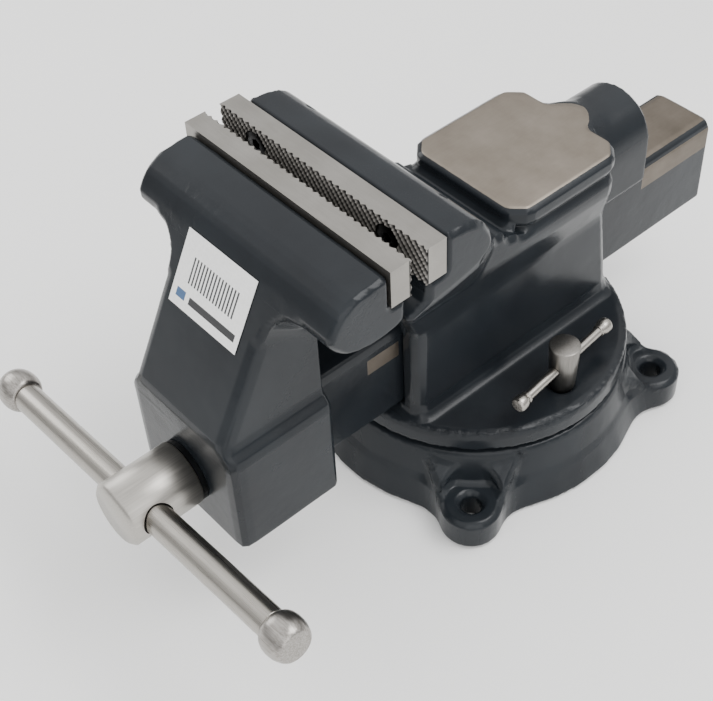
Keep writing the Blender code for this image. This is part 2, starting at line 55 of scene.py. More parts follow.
print("frame loaded:", len(nodes), "nodes")

# every place below is in millimetres in the frame's own axes
spindleAxis = Vector((0.0, -199.1, 90.25))
swivelAxis = Vector((0.0, 34.8, 0.0))
handleTilt = math.radians(5.5)


def srgb(hexColour):
    parts = [int(hexColour[i:i + 2], 16) / 255.0 for i in (1, 3, 5)]
    linear = [c / 12.92 if c <= 0.04045 else ((c + 0.055) / 1.055) ** 2.4 for c in parts]
    return (*linear, 1.0)


def addNode(tree, kind, props=None, inputs=None, stops=()):
    # adds a node, sets its properties, links or sets its inputs, and fills its colour ramp
    node = tree.nodes.new("ShaderNode" + kind)
    for key, value in (props or {}).items():
        setattr(node, key, value)
    for key, value in (inputs or {}).items():
        if isinstance(value, bpy.types.NodeSocket):
            tree.links.new(value, node.inputs[key])
        else:
            node.inputs[key].default_value = value
    if stops:
        points = node.color_ramp.elements
        while len(points) < len(stops):
            points.new(0.5)
        for point, (position, colour) in zip(points, stops):
            point.position = position
            point.color = colour if isinstance(colour, tuple) else (colour, colour, colour, 1.0)
    return node


def newMaterial(name):
    material = bpy.data.materials.new(name)
    material.use_nodes = True
    tree = material.node_tree
    shader = tree.nodes["Principled BSDF"]
    place = addNode(tree, "TexCoord").outputs["Object"]
    return material, tree, shader, place


def patternNoise(tree, place, size, detail=2.0, rough=0.5, stretch=(1.0, 1.0, 1.0)):
    # size is the wavelength in millimetres
    scaled = addNode(tree, "Mapping", inputs={"Vector": place, "Scale": stretch}).outputs[0]
    found = addNode(tree, "TexNoise", inputs={
        "Vector": scaled, "Scale": 1.0 / (size * mm), "Detail": detail, "Roughness": rough})
    return found.outputs["Fac"]


def bumpChain(tree, layers):
    # layers are (height socket, strength, depth in millimetres)
    normal = None
    for height, strength, depth in layers:
        inputs = {"Height": height, "Strength": strength, "Distance": depth * mm}
        if normal is not None:
            inputs["Normal"] = normal
        normal = addNode(tree, "Bump", inputs=inputs).outputs[0]
    return normal


enamelLook = {
    "deep": "#181b1f", "light": "#212529", "roughness": 0.22, "specular": 0.24,
    "peelSize": 2.2, "peelDepth": 0.05, "lumpSize": 11.0, "lumpDepth": 0.22,
}


def zoneMask(tree, place, zones):
    # 1 inside any of the boxes, each ((low x, high x), (low y, high y), (low z, high z))
    wobble = addNode(tree, "TexNoise", inputs={"Vector": place, "Scale": 260.0, "Detail": 3.0})
    shift = addNode(tree, "VectorMath", {"operation": "MULTIPLY_ADD"}, {
        0: wobble.outputs["Color"], 1: (0.0006, 0.0006, 0.0002), 2: place})
    axes = addNode(tree, "SeparateXYZ", inputs={0: shift.outputs[0]}).outputs
    total = None
    for zone in zones:
        inside = None
        for axis, limits in enumerate(zone):
            for limit, way in zip(limits or (), ("GREATER_THAN", "LESS_THAN")):
                test = addNode(tree, "Math", {"operation": way},
                               {0: axes[axis], 1: limit * mm}).outputs[0]
                inside = test if inside is None else addNode(
                    tree, "Math", {"operation": "MULTIPLY"}, {0: inside, 1: test}).outputs[0]
        total = inside if total is None else addNode(tree, "Math", {"operation": "MAXIMUM"},
                                                     {0: total, 1: inside}).outputs[0]
    return total


def castEnamel(name, zones, wrinkle=None, iron=("#7d756b", "#8f877d")):
    # gloss enamel sprayed on sand-cast iron: soft orange peel, low lumps, bare milled faces
    material, tree, shader, place = newMaterial(name)
    tint = patternNoise(tree, place, 45.0, 3.0)
    paint = addNode(tree, "ValToRGB", inputs={"Fac": tint},
                    stops=[(0.3, srgb(enamelLook["deep"])),
                           (0.7, srgb(enamelLook["light"]))]).outputs["Color"]
    sheen = patternNoise(tree, place, 18.0, 4.0, 0.6)
    gloss = addNode(tree, "Mix", {"data_type": "FLOAT"},
                    {0: sheen, 2: enamelLook["roughness"] - 0.07,
                     3: enamelLook["roughness"] + 0.09}).outputs[0]
    peel = patternNoise(tree, place, enamelLook["peelSize"], 2.0)
    lump = patternNoise(tree, place, enamelLook["lumpSize"], 3.0, 0.55)
    layers = [(lump, 0.6, enamelLook["lumpDepth"]), (peel, 0.5, enamelLook["peelDepth"])]
    if wrinkle:
        # thick paint that crept as it dried, in soft patches
        warp = addNode(tree, "TexNoise", inputs={"Vector": place, "Scale": 150.0, "Detail": 4.0,
                                                 "Distortion": 1.2})
        patch = addNode(tree, "ValToRGB", inputs={"Fac": patternNoise(tree, place, 34.0, 1.0)},
                        stops=[(0.42, 0.0), (0.62, 1.0)]).outputs["Color"]
        band = zoneMask(tree, place, [wrinkle])
        height = addNode(tree, "Math", {"operation": "MULTIPLY"},
                         {0: addNode(tree, "Math", {"operation": "MULTIPLY"},
                                     {0: patch, 1: band}).outputs[0],
                          1: warp.outputs["Fac"]}).outputs[0]
        layers.append((height, 0.6, 0.35))
    # sand grains left under the paint along the rough edges, marked on the mesh
    gritty = addNode(tree, "Attribute", {"attribute_name": "grit"}).outputs["Fac"]
    grain = patternNoise(tree, place, 1.1, 4.0, 0.7)
    layers.append((addNode(tree, "Math", {"operation": "MULTIPLY"},
                           {0: grain, 1: gritty}).outputs[0], 1.0, 0.9))
    normal = bumpChain(tree, layers)
    shader.inputs["Specular IOR Level"].default_value = enamelLook["specular"]
    if zones:
        bare = zoneMask(tree, place, zones)
        stain = patternNoise(tree, place, 26.0, 4.0, 0.6)
        metal = addNode(tree, "ValToRGB", inputs={"Fac": stain},
                        stops=[(0.3, srgb(iron[0])), (0.72, srgb(iron[1]))]).outputs["Color"]
        lines = patternNoise(tree, place, 0.9, 2.0, 0.5, (1.0, 0.06, 1.0))
        ironRough = addNode(tree, "Mix", {"data_type": "FLOAT"},
                            {0: lines, 2: 0.38, 3: 0.56}).outputs[0]
        colour = addNode(tree, "Mix", {"data_type": "RGBA"},
                         {0: bare, 6: paint, 7: metal}).outputs[2]
        rough = addNode(tree, "Mix", {"data_type": "FLOAT"},
                        {0: bare, 2: gloss, 3: ironRough}).outputs[0]
        tree.links.new(bare, shader.inputs["Metallic"])
        scratch = addNode(tree, "Bump", inputs={
            "Height": lines, "Strength": 0.25, "Distance": 0.03 * mm}).outputs[0]
        pick = addNode(tree, "Mix", {"data_type": "VECTOR"}, {0: bare, 4: normal, 5: scratch})
        normal = pick.outputs[1]
    else:
        colour, rough = paint, gloss
    tree.links.new(colour, shader.inputs["Base Color"])
    tree.links.new(rough, shader.inputs["Roughness"])
    tree.links.new(normal, shader.inputs["Normal"])
    shader.inputs["IOR"].default_value = 1.5
    return material


def turnedSteel(name, axis, centre, tilt=0.0, colours=("#9a968f", "#aca8a2"), rough=0.27):
    # bright drawn and turned bar: fine streaks along it and faint rings round it
    material, tree, shader, place = newMaterial(name)
    turn = {"X": (0.0, math.radians(90), 0.0), "Y": (math.radians(90), 0.0, 0.0), "Z": (0, 0, 0)}
    moved = addNode(tree, "Mapping", {"vector_type": "TEXTURE"}, {
        "Vector": place, "Location": Vector(centre) * mm,
        "Rotation": Vector(turn[axis]) + Vector((0.0, tilt, 0.0))}).outputs[0]
    axes = addNode(tree, "SeparateXYZ", inputs={0: moved}).outputs
    flat = addNode(tree, "CombineXYZ", inputs={0: axes[0], 1: axes[1]}).outputs[0]
    radius = addNode(tree, "VectorMath", {"operation": "LENGTH"}, {0: flat}).outputs["Value"]
    line = addNode(tree, "CombineXYZ", inputs={0: radius, 1: axes[2]}).outputs[0]
    rings = patternNoise(tree, line, 0.9, 3.0, 0.6)
    streaks = patternNoise(tree, moved, 0.8, 3.0, 0.6, (1.0, 1.0, 0.03))
    smudge = patternNoise(tree, place, 14.0, 3.0, 0.6)
    tone = addNode(tree, "ValToRGB", inputs={"Fac": streaks},
                   stops=[(0.25, srgb(colours[0])), (0.75, srgb(colours[1]))]).outputs["Color"]
    shade = addNode(tree, "ValToRGB", inputs={"Fac": smudge},
                    stops=[(0.3, 0.94), (0.7, 1.0)]).outputs["Color"]
    colour = addNode(tree, "Mix", {"data_type": "RGBA", "blend_type": "MULTIPLY"},
                     {0: 1.0, 6: tone, 7: shade}).outputs[2]
    roughness = addNode(tree, "Mix", {"data_type": "FLOAT"},
                        {0: streaks, 2: rough - 0.04, 3: rough + 0.06}).outputs[0]
    tree.links.new(colour, shader.inputs["Base Color"])
    tree.links.new(roughness, shader.inputs["Roughness"])
    tree.links.new(bumpChain(tree, [(streaks, 0.08, 0.004), (rings, 0.06, 0.006)]),
                   shader.inputs["Normal"])
    shader.inputs["Metallic"].default_value = 1.0
    return material


def groundSteel(name, faceY, back):
    # surface-ground tool steel, rougher in the cut teeth of the gripping face, where a painted
    # highlight lies on the tooth crests and painted shade fills the valleys
    material, tree, shader, place = newMaterial(name)
    along = patternNoise(tree, place, 0.8, 3.0, 0.55, (0.05, 1.0, 1.0))
    broad = patternNoise(tree, place, 22.0, 3.0)
    light = addNode(tree, "ValToRGB", inputs={"Fac": broad},
                    stops=[(0.3, srgb("#928f8a")), (0.7, srgb("#9f9c97"))]).outputs["Color"]
    line = addNode(tree, "ValToRGB", inputs={"Fac": along},
                   stops=[(0.3, 0.9), (0.7, 1.0)]).outputs["Color"]
    bright = addNode(tree, "Mix", {"data_type": "RGBA", "blend_type": "MULTIPLY"},
                     {0: 1.0, 6: light, 7: line}).outputs[2]
    axes = addNode(tree, "SeparateXYZ", inputs={0: place}).outputs
    away = addNode(tree, "Math", {"operation": "MULTIPLY"},
                   {0: addNode(tree, "Math", {"operation": "SUBTRACT"},
                               {0: axes[1], 1: faceY * mm}).outputs[0], 1: back}).outputs[0]
    near = addNode(tree, "Math", {"operation": "LESS_THAN"}, {0: away, 1: 1.75 * mm}).outputs[0]
    below = addNode(tree, "Math", {"operation": "LESS_THAN"},
                    {0: axes[2], 1: 227.1 * mm}).outputs[0]
    teeth = addNode(tree, "Math", {"operation": "MULTIPLY"}, {0: near, 1: below}).outputs[0]
    # painted light in the teeth: a pale painted highlight at the crests, going to dark painted
    # shade deeper in the valleys
    paintedCrestHighlightValleyShade = addNode(tree, "ValToRGB",
                    inputs={"Fac": addNode(tree, "Math", {"operation": "MULTIPLY"},
                                           {0: away, 1: 620.0}).outputs[0]},
                    stops=[(0.0, srgb("#dad6cf")), (0.25, srgb("#8f8b86")),
                           (0.7, srgb("#262524"))]).outputs["Color"]
    colour = addNode(tree, "Mix", {"data_type": "RGBA"},
                     {0: teeth, 6: bright, 7: paintedCrestHighlightValleyShade}).outputs[2]
    rough = addNode(tree, "Mix", {"data_type": "FLOAT"},
                    {0: teeth,
                     2: addNode(tree, "Mix", {"data_type": "FLOAT"},
                                {0: along, 2: 0.36, 3: 0.52}).outputs[0], 3: 0.34}).outputs[0]
    tree.links.new(colour, shader.inputs["Base Color"])
    tree.links.new(rough, shader.inputs["Roughness"])
    tree.links.new(bumpChain(tree, [(along, 0.3, 0.03)]), shader.inputs["Normal"])
    tree.links.new(addNode(tree, "Mix", {"data_type": "FLOAT"},
                           {0: teeth, 2: 1.0, 3: 0.45}).outputs[0], shader.inputs["Metallic"])
    return material


def plainMetal(name, dark, light, rough, grain, depth):
    # as-cast, blackened or drawn metal with a fine random grain
    material, tree, shader, place = newMaterial(name)
    speck = patternNoise(tree, place, grain, 4.0, 0.6)
    broad = patternNoise(tree, place, grain * 9.0, 2.0)
    tone = addNode(tree, "ValToRGB",
                   inputs={"Fac": addNode(tree, "Math", {"operation": "MULTIPLY"},
                                          {0: addNode(tree, "Math", {"operation": "ADD"},
                                                      {0: speck, 1: broad}).outputs[0],
                                           1: 0.5}).outputs[0]},
                   stops=[(0.35, srgb(dark)), (0.65, srgb(light))]).outputs["Color"]
    tree.links.new(tone, shader.inputs["Base Color"])
    tree.links.new(addNode(tree, "Mix", {"data_type": "FLOAT"},
                           {0: speck, 2: rough - 0.1, 3: rough + 0.1}).outputs[0],
                   shader.inputs["Roughness"])
    tree.links.new(bumpChain(tree, [(speck, 0.4, depth)]), shader.inputs["Normal"])
    shader.inputs["Metallic"].default_value = 1.0
    return material


def pieceFromMesh(name, mesh, material, body, replaced):
    piece = bpy.data.objects.new(name, mesh)
    bpy.context.scene.collection.objects.link(piece)
    mesh.name = name
    mesh.materials.clear()
    mesh.materials.append(material)
    for node in replaced:
        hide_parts(node)
    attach(piece, body)
    return piece


def meshFromBm(bm, name):
    mesh = bpy.data.meshes.new(name)
    bm.to_mesh(mesh)
    bm.free()
    return mesh


def bakedMesh(mesh, addModifiers):
    # the mesh with some modifiers worked into it
    holder = bpy.data.objects.new("holder", mesh)
    bpy.context.scene.collection.objects.link(holder)
    addModifiers(holder)
    graph = bpy.context.evaluated_depsgraph_get()
    done = bpy.data.meshes.new_from_object(holder.evaluated_get(graph))
    bpy.data.objects.remove(holder)
    return done


def cutWith(mesh, cutters):
    tools = []
    for cutter in cutters:
        tool = bpy.data.objects.new("cutter", cutter)
        bpy.context.scene.collection.objects.link(tool)
        tools.append(tool)

    def addCuts(holder):
        for tool in tools:
            cut = holder.modifiers.new("cut", "BOOLEAN")
            cut.operation = "DIFFERENCE"
            cut.solver = "EXACT"
            cut.object = tool

    done = bakedMesh(mesh, addCuts)
    for tool in tools:
        bpy.data.objects.remove(tool)
    return done


def lathe(profile, place, steps=72):
    # profile is (along, radius) in millimetres; the axis is local Z, then it goes to its place
    bm = bmesh.new()
    line = [bm.verts.new((radius * mm, 0.0, along * mm)) for along, radius in profile]
    edges = [bm.edges.new(pair) for pair in zip(line, line[1:])]
    bmesh.ops.spin(bm, geom=line + edges, cent=(0, 0, 0), axis=(0, 0, 1), dvec=(0, 0, 0),
                   angle=math.tau, steps=steps, use_merge=True, use_duplicate=False)
    bmesh.ops.remove_doubles(bm, verts=bm.verts, dist=0.002 * mm)
    bmesh.ops.recalc_face_normals(bm, faces=bm.faces)
    bmesh.ops.transform(bm, matrix=place, verts=bm.verts)
    return bm


def softEdges(piece, width, segments=3, angle=35.0):
    bevel = piece.modifiers.new("soft edges", "BEVEL")
    bevel.width = width * mm
    bevel.segments = segments
    bevel.limit_method = "ANGLE"
    bevel.angle_limit = math.radians(angle)
    bevel.use_clamp_overlap = True
    piece.data.shade_smooth()
    piece.data.set_sharp_from_angle(angle=math.radians(angle))


def axisPlace(centre, direction):
    turn = Vector((0, 0, 1)).rotation_difference(Vector(direction)).to_matrix().to_4x4()
    return Matrix.Translation(Vector(centre) * mm) @ turn


def aboutSwivel(angle, radius, aside, z):
    turn = math.radians(angle)
    x = radius * math.cos(turn) - aside * math.sin(turn)
    y = radius * math.sin(turn) + aside * math.cos(turn)
    return (x, y + swivelAxis.y, z)


# rough lines: the edges of the four foot gussets, and the rim of the swivel flange
gussetEdges = []
for angle in (45, 135, 225, 315):
    for side in (-1.0, 1.0):
        gussetEdges.append((aboutSwivel(angle, 86.0, 26.5 * side, 38.0),
                            aboutSwivel(angle, 106.0, 17.5 * side, 21.5), 4.5))
rimLines = []
for angle in range(0, 360, 12):
    rimLines.append((aboutSwivel(angle, 89.0, 0.0, 57.0),
                     aboutSwivel(angle + 12, 89.0, 0.0, 57.0), 1.5))

castings = {
    "swivel_base": {"piece": "base_casting", "body": "base", "voxel": 1.1, "keep": 0.8,
                    "flat": [], "grit": gussetEdges},
    "fixed_body": {"piece": "body_casting", "body": "body", "voxel": 1.2, "keep": 0.62,
                   "flat": [169.0], "grit": rimLines},
    "moving_jaw": {"piece": "jaw_casting", "body": "jaw", "voxel": 1.1, "keep": 0.62,
                   "flat": [120.4], "grit": []},
}
castingSurface = {"lumpSize": 18.0, "lumpDepth": 0.14, "softRounds": 2, "fairRounds": 24,
                  "crease": math.radians(13), "gritDepth": 1.5, "gritPatch": 7.0,
                  "gritGrain": 2.4, "milledBand": 0.12, "weld": 0.005}


def fairSkin(mesh, normals, rounds, crease):
    # evens out the facets of the rolled faces and leaves the square corners where they are,
    # told apart by the normals of the solid under each point
    count = len(mesh.vertices)
    points = np.empty(count * 3)
    mesh.vertices.foreach_get("co", points)
    points = points.reshape(-1, 3)
    ends = np.empty(len(mesh.edges) * 2, dtype=np.int32)
    mesh.edges.foreach_get("vertices", ends)
    ends = ends.reshape(-1, 2)
    turn = np.arccos(np.clip((normals[ends[:, 0]] * normals[ends[:, 1]]).sum(1), -1.0, 1.0))
    weight = np.tile(np.exp(-(turn / crease) ** 2), 2)
    start = np.concatenate((ends[:, 0], ends[:, 1]))
    finish = np.concatenate((ends[:, 1], ends[:, 0]))
    total = np.bincount(start, weight, count) + 1e-6
    for _ in range(rounds):
        pull = [np.bincount(start, weight * points[finish, k], count) for k in range(3)]
        mean = np.stack(pull, 1) / total[:, None]
        points += 0.5 * np.minimum(1.0, total)[:, None] * (mean - points)
    mesh.vertices.foreach_set("co", points.ravel())
    mesh.update()


def castSkin(node, settings):
    # a fine closed skin laid on the solid, faired, softened at the edges and thinned to size
    bm = bmesh.new()
    bm.from_mesh(nodes[node].data)
    bmesh.ops.remove_doubles(bm, verts=bm.verts, dist=castingSurface["weld"] * mm)
    start = meshFromBm(bm, node + "Start")

    def addRemesh(holder):
        remesh = holder.modifiers.new("skin", "REMESH")
        remesh.mode = "VOXEL"
        remesh.voxel_size = settings["voxel"] * mm

    skin = bakedMesh(start, addRemesh)
    solid = BVHTree.FromPolygons([vert.co for vert in nodes[node].data.vertices],
                                 [face.vertices for face in nodes[node].data.polygons])
    normals = []
    for vert in skin.vertices:
        vert.co, normal = solid.find_nearest(vert.co)[:2]
        normals.append(normal)
    fairSkin(skin, np.array(normals), castingSurface["fairRounds"], castingSurface["crease"])
    bm = bmesh.new()
    bm.from_mesh(skin)
    for _ in range(castingSurface["softRounds"]):
        bmesh.ops.smooth_vert(bm, verts=bm.verts, factor=0.5,
                              use_axis_x=True, use_axis_y=True, use_axis_z=True)
    bm.normal_update()
    for vert in bm.verts:
        level = vert.co.z / mm
        if any(abs(level - flat) < castingSurface["milledBand"] for flat in settings["flat"]):
            continue
        where = vert.co / (castingSurface["lumpSize"] * mm)
        sink = 0.5 + 0.5 * noise.noise(where) + 0.2 * noise.noise(where * 3.1)
        vert.co -= vert.normal * max(0.0, sink) * castingSurface["lumpDepth"] * mm
    full = meshFromBm(bm, settings["piece"])

    def addDecimate(holder):
        decimate = holder.modifiers.new("thin", "DECIMATE")
        decimate.ratio = settings["keep"]

    mesh = bakedMesh(full, addDecimate)
    mesh.shade_smooth()
    if settings["grit"]:
        addGrit(mesh, settings["grit"])
    return mesh


def addGrit(mesh, lines):
    # roughens the skin close to some lines and keeps how rough it is for the finish
    count = len(mesh.vertices)
    points = np.empty(count * 3)
    mesh.vertices.foreach_get("co", points)
    points = points.reshape(-1, 3) / mm
    grit = np.zeros(count)
    for start, end, width in lines:
        first, along = np.array(start), np.array(end) - np.array(start)
        share = np.clip(((points - first) @ along) / (along @ along), 0.0, 1.0)
        gap = np.linalg.norm(points - first - share[:, None] * along, axis=1)
        grit = np.maximum(grit, np.exp(-(gap / width) ** 2))
    for i in np.nonzero(grit > 0.05)[0]:
        vert = mesh.vertices[int(i)]
        spot = noise.noise(vert.co / (castingSurface["gritPatch"] * mm))
        grit[i] *= min(1.0, max(0.0, 0.55 + 1.6 * spot))
        grain = noise.noise(vert.co / (castingSurface["gritGrain"] * mm)) - 0.4
        vert.co += vert.normal * (grain * castingSurface["gritDepth"] * grit[i] * mm)
    mesh.attributes.new("grit", "FLOAT", "POINT").data.foreach_set(
        "value", grit.astype(np.float32))


# bare milled iron: the top and sides of the slide, and the anvil
slideZones = [
    ((-17.9, 17.9), (-66.0, 213.0), (119.7, 121.0)),
    ((20.6, 23.0), (152.0, 213.4), (101.3, 115.8)),
    ((20.6, 23.0), (-65.0, -43.0), (99.5, 110.0)),
    ((-23.0, -20.6), (152.0, 213.4), (101.3, 115.8)),
    ((-23.0, -20.6), (-65.0, -43.0), (99.5, 110.0)),
]
anvilZones = [((-43.5, 43.5), (20.0, 118.0), (168.45, 170.0))]
looks = {
    "swivel_base": castEnamel("baseGlossEnamel", []),
    "fixed_body": castEnamel("bodyGlossEnamel", anvilZones),
    "moving_jaw": castEnamel("jawGlossEnamel", slideZones,
                             wrinkle=(None, (-140.0, -95.0), (205.0, 230.0)),
                             iron=("#635c53", "#776f66")),
}
for node, settings in castings.items():
    mesh = castSkin(node, settings)
    pieceFromMesh(settings["piece"], mesh, looks[node], settings["body"], [node])
    print(settings["piece"], len(mesh.polygons), "faces")


jawPlate = {
    "half": 75.0, "top": 227.3, "height": 21.4, "thick": 12.7,
    "coarse": 4.8, "fine": 2.6, "depth": 1.6, "slant": 0.9, "columns": 330, "rows": 48,
    "screwX": 48.0, "headRadius": 7.7, "shankRadius": 4.3,
}
# the two gripping faces: where they are along the vise, and which way the metal goes from there
gripFaces = {"body": (-72.8, 1.0), "jaw": (-81.0, -1.0)}
jawPlates = {
    "jaw_plate_fixed": ("rear_jaw_plate", "body"),
    "jaw_plate_moving": ("front_jaw_plate", "jaw"),
}


def toothDepth(x, z):
    # coarse slanted ridges, nicked across by a finer cut
    ridge = (x + jawPlate["slant"] * z) / jawPlate["coarse"]
    nick = (x - jawPlate["slant"] * z) / jawPlate["fine"]
    height = 1.0 - abs((ridge % 1.0) * 2.0 - 1.0)
    height -= 0.24 * abs((nick % 1.0) * 2.0 - 1.0)
    return jawPlate["depth"] * (1.0 - max(0.0, height))


def buildPlate(faceY, back):
    bm = bmesh.new()
    middle = jawPlate["top"] - jawPlate["height"] / 2.0
    bmesh.ops.create_grid(bm, x_segments=jawPlate["columns"], y_segments=jawPlate["rows"], size=0.5)
    rim = [e for e in bm.edges if e.is_boundary]
    for vert in bm.verts:
        x = vert.co.x * 2.0 * jawPlate["half"]
        z = vert.co.y * jawPlate["height"]
        vert.co = Vector((x, faceY + back * toothDepth(x, z), middle + z)) * mm
    made = bmesh.ops.extrude_edge_only(bm, edges=rim)["geom"]
    for vert in [g for g in made if isinstance(g, bmesh.types.BMVert)]:
        vert.co.y = (faceY + back * jawPlate["thick"]) * mm
    bmesh.ops.holes_fill(bm, edges=[e for e in bm.edges if e.is_boundary], sides=0)
    bmesh.ops.recalc_face_normals(bm, faces=bm.faces)
    mesh = meshFromBm(bm, "plate")
    cutters = []
    for side in (-1.0, 1.0):
        hole = [(-3.0, 0.0), (-3.0, jawPlate["headRadius"]), (3.0, jawPlate["headRadius"]),
                (6.5, jawPlate["shankRadius"]), (20.0, jawPlate["shankRadius"]), (20.0, 0.0)]
        place = axisPlace((side * jawPlate["screwX"], faceY, middle), (0.0, back, 0.0))
        cutters.append(meshFromBm(lathe(hole, place, 48), "hole"))
    return cutWith(mesh, cutters)


for node, (name, body) in jawPlates.items():
    faceY, back = gripFaces[body]
    mesh = buildPlate(faceY, back)
    steel = groundSteel(name + "GroundSteel", faceY, back)
    plate = pieceFromMesh(name, mesh, steel, body, [node])
    mesh.shade_smooth()
    mesh.set_sharp_from_angle(angle=math.radians(25))
    print(name, len(mesh.polygons), "faces")

plateScrew = {"head": 7.4, "shank": 4.0, "length": 30.0, "socket": 3.0, "socketDepth": 4.0,
              "sunk": 1.2, "level": 216.6}
for node, sign in (("jaw_screw_fixed_a", -1), ("jaw_screw_fixed_b", 1),
                   ("jaw_screw_moving_a", -1), ("jaw_screw_moving_b", 1)):
    body = "body" if "fixed" in node else "jaw"
    faceY, back = gripFaces[body]
    profile = [(plateScrew["sunk"], 0.0), (plateScrew["sunk"], 6.9),
               (1.5, plateScrew["head"]), (3.0, plateScrew["head"]),
               (6.4, plateScrew["shank"]), (plateScrew["length"], plateScrew["shank"]),
               (plateScrew["length"], 0.0)]
    place = axisPlace((jawPlate["screwX"] * sign, faceY, plateScrew["level"]), (0.0, back, 0.0))
    screwMesh = meshFromBm(lathe(profile, place, 48), node)
    socket = bmesh.new()
    bmesh.ops.create_cone(socket, cap_ends=True, segments=6, radius1=plateScrew["socket"] * mm,
                          radius2=plateScrew["socket"] * mm,
                          depth=2.0 * plateScrew["socketDepth"] * mm, matrix=place)
    screwMesh = cutWith(screwMesh, [meshFromBm(socket, "socket")])
    black = plainMetal(node + "BlackOxide", "#0e0e0f", "#1d1d1e", 0.42, 0.8, 0.03)
    screw = pieceFromMesh(node.replace("jaw_screw", "plate_screw"), screwMesh, black,
                          body, [node])
    softEdges(screw, 0.25, 2)
print("jaw plates and screws done")


leadScrew = {"head": 18.0, "shaft": 11.0, "front": -213.8, "headBack": -172.1, "end": 190.0,
             "lead": 6.0, "rootDepth": 2.0, "threadFrom": -120.0, "crossHole": 8.7}


def buildSpindle():
    profile = [(leadScrew["front"], 0.0), (leadScrew["front"], 15.6),
               (leadScrew["front"] + 2.2, leadScrew["head"]),
               (leadScrew["headBack"] - 0.6, leadScrew["head"]),
               (leadScrew["headBack"], leadScrew["head"] - 0.6),
               (leadScrew["headBack"], leadScrew["shaft"])]
    level = leadScrew["threadFrom"]
    profile.append((level - 1.0, leadScrew["shaft"]))
    while level < leadScrew["end"] - 4.0:
        profile.append((level, leadScrew["shaft"]))
        level += 1.0
    profile.append((leadScrew["end"] - 3.0, leadScrew["shaft"]))
    profile.append((leadScrew["end"], leadScrew["shaft"] - 2.5))
    profile.append((leadScrew["end"], 0.0))
    centre = (0.0, 0.0, spindleAxis.z)
    bm = lathe(profile, axisPlace(centre, (0.0, 1.0, 0.0)), 64)
    for vert in bm.verts:
        y = vert.co.y / mm
        offset = Vector((vert.co.x, 0.0, vert.co.z - spindleAxis.z * mm))
        if y < leadScrew["threadFrom"] or y > leadScrew["end"] - 5.0 or offset.length < 10 * mm:
            continue
        # right-hand trapezoidal thread, cut into the shaft
        phase = (y / leadScrew["lead"] + math.atan2(offset.z, offset.x) / math.tau) % 1.0
        slope = min(1.0, max(0.0, (abs(phase - 0.5) * 2.0 - 0.3) / 0.35))
        offset *= 1.0 - (1.0 - slope) * leadScrew["rootDepth"] / leadScrew["shaft"]
        vert.co.x = offset.x
        vert.co.z = spindleAxis.z * mm + offset.z
    mesh = meshFromBm(bm, "spindle")
    barHole = bmesh.new()
    bmesh.ops.create_cone(
        barHole, cap_ends=True, segments=64, radius1=leadScrew["crossHole"] * mm,
        radius2=leadScrew["crossHole"] * mm, depth=60 * mm,
        matrix=axisPlace(spindleAxis, (math.cos(handleTilt), 0.0, math.sin(handleTilt))))
    return cutWith(mesh, [meshFromBm(barHole, "barHole")])


spindleSteel = turnedSteel("spindleTurnedSteel", "Y", (0.0, 0.0, spindleAxis.z),
                           colours=("#a3a09a", "#bab6b0"), rough=0.35)
spindle = pieceFromMesh("spindle", buildSpindle(), spindleSteel, "spindle", ["lead_screw"])
softEdges(spindle, 0.4, 3, 50.0)
print("spindle", len(spindle.data.polygons), "faces")


tommyBar = {"radius": 8.0, "half": 108.5, "neck": 5.0, "knob": 116.9}
barDirection = Vector((math.cos(handleTilt), 0.0, math.sin(handleTilt)))
barPlace = axisPlace(spindleAxis, barDirection)
barProfile = [(-tommyBar["knob"], 0.0), (-tommyBar["knob"], tommyBar["neck"]),
              (-tommyBar["half"], tommyBar["neck"]), (-tommyBar["half"], tommyBar["radius"]),
              (tommyBar["half"], tommyBar["radius"]), (tommyBar["half"], tommyBar["neck"]),
              (tommyBar["knob"], tommyBar["neck"]), (tommyBar["knob"], 0.0)]
barSteel = turnedSteel("barTurnedSteel", "X", spindleAxis, -handleTilt)
bar = pieceFromMesh("tommy_bar", meshFromBm(lathe(barProfile, barPlace, 64), "bar"), barSteel,
                    "handle", ["handle_bar"])
softEdges(bar, 0.5, 3)
knobShape = [(-8.1, 0.0), (-8.1, 8.2), (-7.6, 9.2), (-6.2, 10.3), (-4.2, 11.1), (-1.8, 11.5),
             (0.6, 11.5), (2.9, 11.3), (5.0, 10.7), (6.9, 9.9), (8.1, 9.1), (8.6, 8.4), (8.6, 0.0)]
for node, name, side in (("handle_knob_a", "knob_left", -1.0),
                         ("handle_knob_b", "knob_right", 1.0)):
    shape = [(side * (tommyBar["knob"] + along), radius) for along, radius in knobShape]
    knobMesh = meshFromBm(lathe(shape, barPlace, 64), name)
    pocket = [(side * (tommyBar["half"] - 4.0), 0.0), (side * (tommyBar["half"] - 4.0), 5.3),
              (side * (tommyBar["knob"] + 0.3), 5.3), (side * (tommyBar["knob"] + 0.3), 0.0)]
    knobMesh = cutWith(knobMesh, [meshFromBm(lathe(pocket, barPlace, 48), "pocket")])
    steel = turnedSteel(name + "TurnedSteel", "X", spindleAxis, -handleTilt,
                        ("#7e7a75", "#b5b1ac"), 0.3)
    knob = pieceFromMesh(name, knobMesh, steel, "handle", [node])
    softEdges(knob, 0.15, 2, 30.0)
print("tommy bar done")


